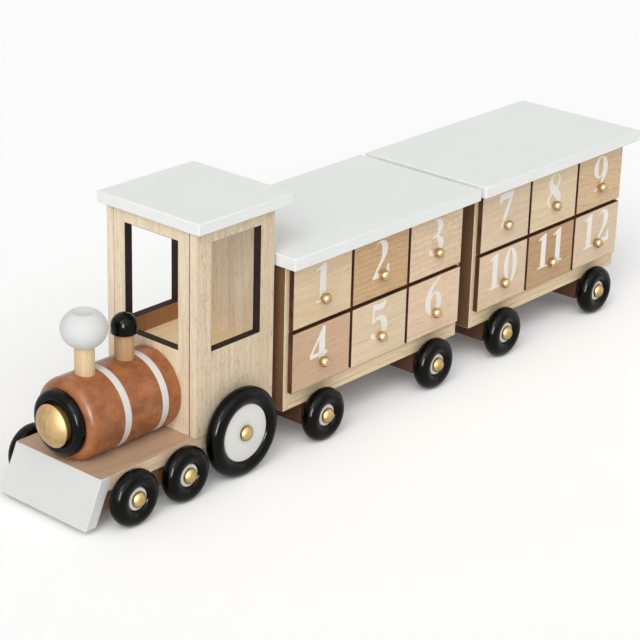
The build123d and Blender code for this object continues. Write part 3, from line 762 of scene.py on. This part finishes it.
# Wheels
# Turned wooden tyres with a round section, lacquered black, pressed over flat white discs. A domed
# gold cap hides each end of the steel axle, which turns in the bored blocks.
tyre_half = 6.3
tyre_seat = 0.8
hub_half = 3.5
axle_radius = 3.0
cap_radius = 5.6
cap_rim = 1.6
cap_height = 4.8
seat_sweep = 360 - 2 * math.degrees(math.acos((tyre_half - tyre_seat) / tyre_half))
seat_half = math.sqrt(tyre_half**2 - (tyre_half - tyre_seat) ** 2)
cap_brow = 0.25  # the rise of a cap's face below which it takes a darker gold, as painted shade
cap_curve = (cap_radius**2 + (cap_height - cap_rim) ** 2) / (2 * (cap_height - cap_rim))
cap_sweep = math.degrees(math.asin(cap_radius / cap_curve))
hub_paint = paint("hub_paint", tint(223, 223, 218), sheen=0.55, clouding=0.1, depth=0.02, specular=0.25)
cap_gold = gilt("cap_gold", bright=tint(198, 168, 114), dull=tint(154, 124, 74),
                strokes=(0.5, 0.5, 0.5), rough=0.3, metallic=0.75)
# The caps' sides take this darker gold: painted shade, and a painted reflection of the black tyres.
cap_shade_gold = gilt("cap_shade_gold", bright=tint(140, 108, 62), dull=tint(98, 72, 40),
                strokes=(0.6, 0.6, 0.6), rough=0.35, metallic=0.7)
axle_steel, tree, shader = finish("axle_steel")
turning = cloud(tree, pattern_space(tree), (0.4, 6.0, 0.4), 2).outputs[0]
tree.links.new(blend(tree, turning, tint(150, 148, 144), tint(116, 114, 110)), shader.inputs["Base Color"])
tree.links.new(sum_up(tree, "MULTIPLY_ADD", turning, 0.2, 0.3), shader.inputs["Roughness"])
shader.inputs["Metallic"].default_value = 1.0


def pair_up(bm, axle_x, axle_z, reach):
    """Lay a turned piece on the axle at a reach from the middle, and its twin on the other side."""
    twin_verts = twin_of(bm)
    known = set(twin_verts)
    first_verts = [vert for vert in bm.verts if vert not in known]
    for side, verts in ((-1, first_verts), (1, twin_verts)):
        lay = Matrix.Translation((axle_x, side * reach, axle_z)) @ quarter_turn("X", -side)
        bmesh.ops.transform(bm, matrix=lay, verts=verts)
    return bm


for wheelset in ("loco_front", "loco_middle", "loco_rear",
                 "car1_front", "car1_rear", "car2_front", "car2_rear"):
    low, high = place(wheelset + "_wheelset")
    body = wheelset + "_wheels"
    axle_x = (low.x + high.x) / 2
    wheel_middle = high.y - cap_height - hub_half
    wheel_radius = (high.z - low.z) / 2
    hub_radius = wheel_radius - 2 * tyre_half + tyre_seat
    tyres = turned([(hub_radius, -seat_half), (wheel_radius - tyre_half, 0, -seat_sweep)], closed=True)
    pair_up(tyres, axle_x, wheel_radius, wheel_middle)
    hold_creases(hand_over(tyres, wheelset + "_tyres", body, [black_gloss],
                           [wheelset + "_wheelset"]))
    hubs = turned([(axle_radius, -hub_half), (hub_radius, -hub_half),
                   (hub_radius, hub_half), (axle_radius, hub_half)], closed=True)
    ease_edges(hubs, radius=0.35)
    pair_up(hubs, axle_x, wheel_radius, wheel_middle)
    hold_creases(hand_over(hubs, wheelset + "_hubs", body, [hub_paint]))
    caps = turned([(0, 0), (cap_radius, 0), (cap_radius, cap_rim),
                   (0, cap_height - cap_curve, -cap_sweep)], steps=48)
    ease_edges(caps, radius=0.5, segments=3)
    coat_faces(caps, 1, lambda face: face.normal.z < cap_brow)
    pair_up(caps, axle_x, wheel_radius, wheel_middle + hub_half)
    hold_creases(hand_over(caps, wheelset + "_caps", body, [cap_gold, cap_shade_gold]))
    axle_end = wheel_middle + hub_half
    axle = turned([(0, -axle_end), (axle_radius, -axle_end),
                   (axle_radius, axle_end), (0, axle_end)], steps=32)
    ease_edges(axle, radius=0.3)
    lay = Matrix.Translation((axle_x, 0, wheel_radius)) @ quarter_turn("X")
    bmesh.ops.transform(axle, matrix=lay, verts=axle.verts)
    hold_creases(hand_over(axle, wheelset + "_axle", body, [axle_steel]))

# Drawers
# Each has a front sawn by laser from a different offcut, so that no two match, with scorched edges;
# a box of thin boards glued behind it; and a turned gold knob screwed into its lower half.
drawers_a_side = 12
front_tones = {
    1: (222, 200, 165), 2: (202, 168, 126), 3: (222, 197, 166), 4: (203, 171, 141),
    5: (220, 201, 169), 6: (224, 199, 170), 7: (219, 198, 170), 8: (221, 202, 167),
    9: (213, 184, 147), 10: (217, 193, 163), 11: (188, 154, 116), 12: (215, 193, 165),
}
far_tones = (8, 3, 11, 5, 10, 2, 6, 1, 9, 12, 4, 7)  # the near front that each far one takes after
quiet_rings = 0.15
# The fronts with a bold figure: the tilt of their grain in degrees, and how strongly the rings show.
bold_figures = {2: (-11.0, 0.5), 3: (5.0, 0.35), 9: (-4.0, 0.3), 11: (2.0, 0.4)}
front_places = {}
front_scorch = scorch("front_scorch", strokes=(0.3, 0.6, 0.05),
                      char=tint(52, 29, 15), toast=tint(108, 66, 34))
box_wood = wood("box_wood", tint(224, 200, 164), "Y", (15, 35, 30))
front_thickness = 4.0
front_foot = 0.2
knob_radius = 4.0
knob_seat = 2.2
knob_rise = 16.4
knob_middle = math.sqrt(knob_radius**2 - knob_seat**2)
knob_sweep = 90 + math.degrees(math.acos(knob_seat / knob_radius))
box_board = 3.0
box_width = 57.0
box_height = 38.6
box_inner = 1.0
knob_gold = gilt("knob_gold", bright=tint(206, 178, 136), dull=tint(164, 132, 90),
                 strokes=(0.6, 0.6, 0.6), rough=0.2, metallic=0.9)
for number in range(1, 2 * drawers_a_side + 1):
    body = f"drawer_{number:02d}"
    low, high = place(body)
    near = number <= drawers_a_side
    side = -1 if near else 1
    proud = max(abs(low.y), abs(high.y))
    face_y = side * (proud - knob_middle - knob_radius)
    back_y = face_y - side * front_thickness
    middle_x = (low.x + high.x) / 2
    foot = low.z + front_foot
    offcut = number if near else far_tones[number - drawers_a_side - 1]
    # Remainders scatter the heart of the log and the tilt, the same way in every run.
    pith = ((number * 71) % 97 * 3.0, 30 + (number * 17) % 23 * side,
            (60 + (number * 29) % 41) * (-1) ** number)
    tilt, rings = bold_figures.get(offcut, (3.0 - (number * 13) % 7, quiet_rings))
    front_wood = wood(f"front_wood_{number:02d}", tint(*front_tones[offcut]), "X", pith, tilt, rings,
                      fibre=0.85, pores=0.9 if offcut in bold_figures else 0.45)
    front = bmesh.new()
    add_board(front, (low.x, min(face_y, back_y), foot), (high.x, max(face_y, back_y), high.z))
    ease_edges(front, radius=0.25)
    coat_faces(front, 1, lambda face: abs(face.normal.y) <= square_on)
    hand_over(front, body + "_front", body, [front_wood, front_scorch], [body])
    box = bmesh.new()
    inner_y = side * box_inner
    left, right = middle_x - box_width / 2, middle_x + box_width / 2
    y_low, y_high = min(back_y, inner_y), max(back_y, inner_y)
    box_top = low.z + box_height
    add_board(box, (left, y_low, low.z), (left + box_board, y_high, box_top))
    add_board(box, (right - box_board, y_low, low.z), (right, y_high, box_top))
    end_low, end_high = sorted((inner_y, inner_y + side * box_board))
    add_board(box, (left + box_board, end_low, low.z), (right - box_board, end_high, box_top))
    base_low, base_high = sorted((back_y, inner_y + side * box_board))
    add_board(box, (left + box_board, base_low, low.z), (right - box_board, base_high, low.z + box_board))
    ease_edges(box, radius=0.2)
    hand_over(box, body + "_box", body, [box_wood])
    knob = turned([(0, 0), (knob_seat, 0), (0, knob_middle, -knob_sweep)], steps=40)
    lay = Matrix.Translation((middle_x, face_y, foot + knob_rise)) @ quarter_turn("X", -side)
    bmesh.ops.transform(knob, matrix=lay, verts=knob.verts)
    hold_creases(hand_over(knob, body + "_knob", body, [knob_gold]))
    front_places[number] = Vector((middle_x, face_y, foot))

# Drawer numbers
# Serif figures sprayed on the fronts through a stencil, in thin white paint that lets some grain show.
# An outline is in millimetres above the baseline: corners, and curve points with their handles.
figures = {
    "0": [[(0, 28, 4.6, 0), (8.3, 14, 0, -7.7), (0, 0, -4.6, 0), (-8.3, 14, 0, 7.7)],
          [(0, 27, 1.5, 0), (2.8, 14, 0, -7.2), (0, 1, -1.5, 0), (-2.8, 14, 0, 7.2)]],
    "1": [[(3.1, 28), (0.8, 28), (-6.8, 24.6), (-6.8, 23.4), (-3.1, 24.2), (-3.1, 1.1), (-6.4, 1), (-6.4, 0),
           (6.4, 0), (6.4, 1), (3.1, 1.1)]],
    "2": [[(-9.2, 22), (-0.6, 28, 4.6, 0), (6.6, 20.8, 0, -4.2), (-1.4, 8, -3.4, -3.6), (-4.4, 3.8),
           (4.4, 3.6, 2, 0.2), (7.2, 8.8), (8.3, 8.8), (9.3, 0), (-9.3, 0), (-9.3, 1.2), (-2.2, 11.4, 3, 3.8),
           (0.4, 20.6, 0, 3.4), (-2.8, 26.4, -2, 0)]],
    "3": [[(-7, 24.2), (0.2, 28, 4, 0), (7, 21.8, 0, -3.2), (2.6, 15.2), (8.3, 7.8, 0, -4.4), (0, 0, -4.4, 0),
           (-8.4, 2.9, 0, 1.4), (-6.3, 5.2, 1.3, 0), (-4.2, 3, 0.2, -1.2), (-0.4, 1, 1.6, 0),
           (2.3, 7.6, 0, 3.6), (-1.6, 14, -1.6, 0.2), (-5, 13.6), (-5, 14.6), (-1, 15.6, 1.6, 0.4),
           (1.2, 21.6, 0, 3), (-2.4, 26.8, -2, 0)]],
    "4": [[(3.8, 28), (1.8, 28), (-11.7, 9.2), (-11.7, 6.2), (-2.4, 6.2), (-2.4, 0), (3.8, 0), (3.8, 6.2),
           (6.2, 6.2), (6.2, 9.2), (3.8, 9.2)],
          [(-2.4, 9.2), (-9.3, 9.2), (-2.4, 18.9)]],
    "5": [[(-6.8, 28), (0.6, 26.9, 3, 0), (7.8, 28.4), (3.2, 22.4, -3, -0.4), (-5.5, 22.9), (-6, 15.6),
           (0.6, 17.8, 4.4, 0), (9.1, 9, 0, -5), (-0.4, 0, -4.4, 0), (-9.1, 3, 0, 1.5), (-6.8, 5.4, 1.4, 0),
           (-4.5, 3.2, 0.2, -1.3), (-0.8, 1, 1.6, 0), (2.7, 8.6, 0, 4), (-2, 15.2, -2.2, 0),
           (-6.6, 13.2), (-7.7, 13.4)]],
    "6": [[(6.6, 28.8, 6.6, 1.2, 0, -0.2), (6.9, 27.8, 0, -0.2, -5.4, -1.2),
           (-3.5, 15.8, -0.6, -4.4, 0.6, 0.8), (1.8, 18.4, 3.4, 0), (9, 9.4, 0, -5), (-0.2, 0, -5, 0),
           (-9.8, 11.6, 0, 7.4)],
          [(0.4, 17.2, 1.7, 0), (3.2, 9.2, 0, -4.6), (-0.2, 1, -1.8, 0), (-3.7, 9.4, 0, 4.4)]],
    "7": [[(-8.5, 28), (8.4, 28), (8.4, 26.4), (1.6, 9.4, -1.6, -5), (0.9, 0), (-5.6, 0),
           (-2.6, 10.2, 1.6, 4.4), (4.8, 23), (-2.6, 22.8, -2.6, 0), (-7.4, 20.6), (-8.5, 20.6)]],
    "8": [[(0, 28, 4.2, 0), (7.1, 21.9, 0, -3.4), (3.9, 15.5), (8.8, 7.4, 0, -4.3), (0, 0, -4.9, 0),
           (-8.7, 6.7, 0, 3.7), (-4.4, 13.4), (-7.7, 21.2, 0, 3.9)],
          [(0.8, 27.1, 2.4, 0), (5, 22.2, 0, -2.6), (2.7, 16.6), (-3, 22.6, -0.2, 2.4)],
          [(-3, 12.4), (2.6, 5.6, 0.4, -2.6), (-0.6, 0.9, -2.6, 0), (-6.5, 6.4, 0, 2.8)]],
}
figure_height = 28
figures["9"] = [[(-x, figure_height - y, *(-reach for reach in handles)) for x, y, *handles in outline]
                for outline in figures["6"]]
figure_spacing = 19.6
baseline = 14.0
number_build = 0.12
number_paint = paint("number_paint", tint(234, 232, 226),
                     sheen=0.6, clouding=0.3, depth=0.02, specular=0.2)


def add_outline(curve, points, shift):
    """Draw one closed outline of a figure into a curve."""
    spline = curve.splines.new("BEZIER")
    spline.bezier_points.add(len(points) - 1)
    spline.use_cyclic_u = True
    for knot, (x, y, *handles) in zip(spline.bezier_points, points):
        knot.co = (x + shift, y, 0)
        knot.handle_left_type = knot.handle_right_type = "FREE" if handles else "VECTOR"
        if handles:
            knot.handle_left = knot.co - Vector((*handles[:2], 0))
            knot.handle_right = knot.co + Vector((*handles[-2:], 0))


for number, spot in front_places.items():
    body = f"drawer_{number:02d}"
    curve = bpy.data.curves.new(body + "_number", "CURVE")
    curve.dimensions = "2D"
    curve.fill_mode = "BOTH"
    curve.resolution_u = 8
    curve.extrude = number_build
    text = str(number)
    for position, figure in enumerate(text):
        shift = (position - (len(text) - 1) / 2) * figure_spacing
        for points in figures[figure]:
            add_outline(curve, points, shift)
    drawn = bpy.data.objects.new(body + "_number", curve)
    filled = bpy.data.meshes.new_from_object(drawn)
    bpy.data.objects.remove(drawn)
    bpy.data.curves.remove(curve)
    figure_film = bmesh.new()
    figure_film.from_mesh(filled)
    bpy.data.meshes.remove(filled)
    bmesh.ops.remove_doubles(figure_film, verts=figure_film.verts, dist=0.001)
    bmesh.ops.recalc_face_normals(figure_film, faces=figure_film.faces)
    facing = quarter_turn("Z", 0 if number <= drawers_a_side else 2) @ quarter_turn("X")
    lay = Matrix.Translation(spot + Vector((0, 0, baseline))) @ facing
    bmesh.ops.transform(figure_film, matrix=lay, verts=figure_film.verts)
    hand_over(figure_film, body + "_number", body, [number_paint])

# Studio
# A wide pale floor under soft light from the upper left, a stack of lamps low on the left that shows
# only in gloss, a faint one behind, and the camera where the photographer stood.


def seen_directly(tree):
    """One for what the camera, gloss or glass sees, and nought for soft light."""
    rays = plug(tree, "ShaderNodeLightPath").outputs
    mirrored = sum_up(tree, "MAXIMUM", rays["Is Glossy Ray"], rays["Is Transmission Ray"])
    return sum_up(tree, "MAXIMUM", rays["Is Camera Ray"], mirrored)


floor_glow = 0.07
floor_white, tree, shader = finish("floor_white")
shader.inputs["Base Color"].default_value = (0.97, 0.97, 0.97, 1.0)
shader.inputs["Roughness"].default_value = 0.9
shader.inputs["Specular IOR Level"].default_value = 0.0
glow = plug(tree, "ShaderNodeEmission", None, {
    "Color": (1, 1, 1, 1), "Strength": sum_up(tree, "MULTIPLY", seen_directly(tree), floor_glow),
})
both = plug(tree, "ShaderNodeAddShader", None, {0: shader.outputs[0], 1: glow.outputs[0]})
tree.links.new(both.outputs[0], tree.nodes["Material Output"].inputs["Surface"])
ground = bmesh.new()
bmesh.ops.create_grid(ground, x_segments=1, y_segments=1, size=20.0)
ground_mesh = bpy.data.meshes.new("studio_floor")
ground.to_mesh(ground_mesh)
ground.free()
ground_mesh.materials.append(floor_white)
studio_floor = bpy.data.objects.new("studio_floor", ground_mesh)
bpy.context.scene.collection.objects.link(studio_floor)

world = bpy.data.worlds.new("studio_air")
bpy.context.scene.world = world
world.use_nodes = True
tree = world.node_tree
sky = tree.nodes["Background"]
air_light = 0.12
brightness = sum_up(tree, "MULTIPLY_ADD", seen_directly(tree), 1 - air_light, air_light)
sky.inputs["Color"].default_value = (1.0, 1.0, 1.0, 1.0)
tree.links.new(brightness, sky.inputs["Strength"])


def studio_lamp(name, towards, strength, spread):
    """A distant lamp: the way it shines, what it adds to a white board, and its spread in degrees."""
    lamp = bpy.data.lights.new(name, "SUN")
    lamp.energy = strength * math.pi
    lamp.angle = math.radians(spread)
    holder = bpy.data.objects.new(name, lamp)
    holder.rotation_mode = "QUATERNION"
    holder.rotation_quaternion = Vector(towards).to_track_quat("-Z", "Y")
    bpy.context.scene.collection.objects.link(holder)
    return holder


studio_lamp("top_light", towards=(0.05, 0.05, -1.0), strength=0.33, spread=120)
studio_lamp("key_light", towards=(0.66, 0.30, -0.69), strength=0.26, spread=28)
studio_lamp("fill_light", towards=(0.35, 0.65, -0.68), strength=0.34, spread=60)
studio_lamp("front_light", towards=(0.88, 0.30, -0.30), strength=0.21, spread=40)
glint_x, glint_y = 0.77, 0.64
rim_x, rim_y = -0.8, 0.6
for height in (2, 12, 22):
    out, down = math.cos(math.radians(height)), -math.sin(math.radians(height))
    glint = studio_lamp(f"glint_{height}", towards=(glint_x * out, glint_y * out, down),
                        strength=0.5, spread=14)
    glint.visible_diffuse = False
    studio_lamp(f"rim_glint_{height}", towards=(rim_x * out, rim_y * out, down), strength=0.01, spread=4)

bpy.context.scene.view_settings.view_transform = "Standard"
eye = Vector((-1.09018, -0.92156, 0.64482))
aim = Vector((-0.26963, -0.21165, 0.20507))
lean = math.radians(1.562)
forward = (aim - eye).normalized()
level = forward.cross(Vector((0, 0, 1))).normalized()
raised = level.cross(forward)
right_hand = level * math.cos(lean) + raised * math.sin(lean)
overhead = raised * math.cos(lean) - level * math.sin(lean)
picture = 640
centre_column, centre_row = 320.1, 301.865
focal_length = 2093.096
film_width = 36.0
lens = bpy.data.cameras.new("photographer")
lens.sensor_width = film_width
lens.lens = film_width * focal_length / picture
lens.shift_x = (picture / 2 - centre_column) / picture
lens.shift_y = (centre_row - picture / 2) / picture
camera = bpy.data.objects.new("photographer", lens)
camera.matrix_world = Matrix.Translation(eye) @ Matrix((right_hand, overhead, -forward)).transposed().to_4x4()
bpy.context.scene.collection.objects.link(camera)
bpy.context.scene.camera = camera
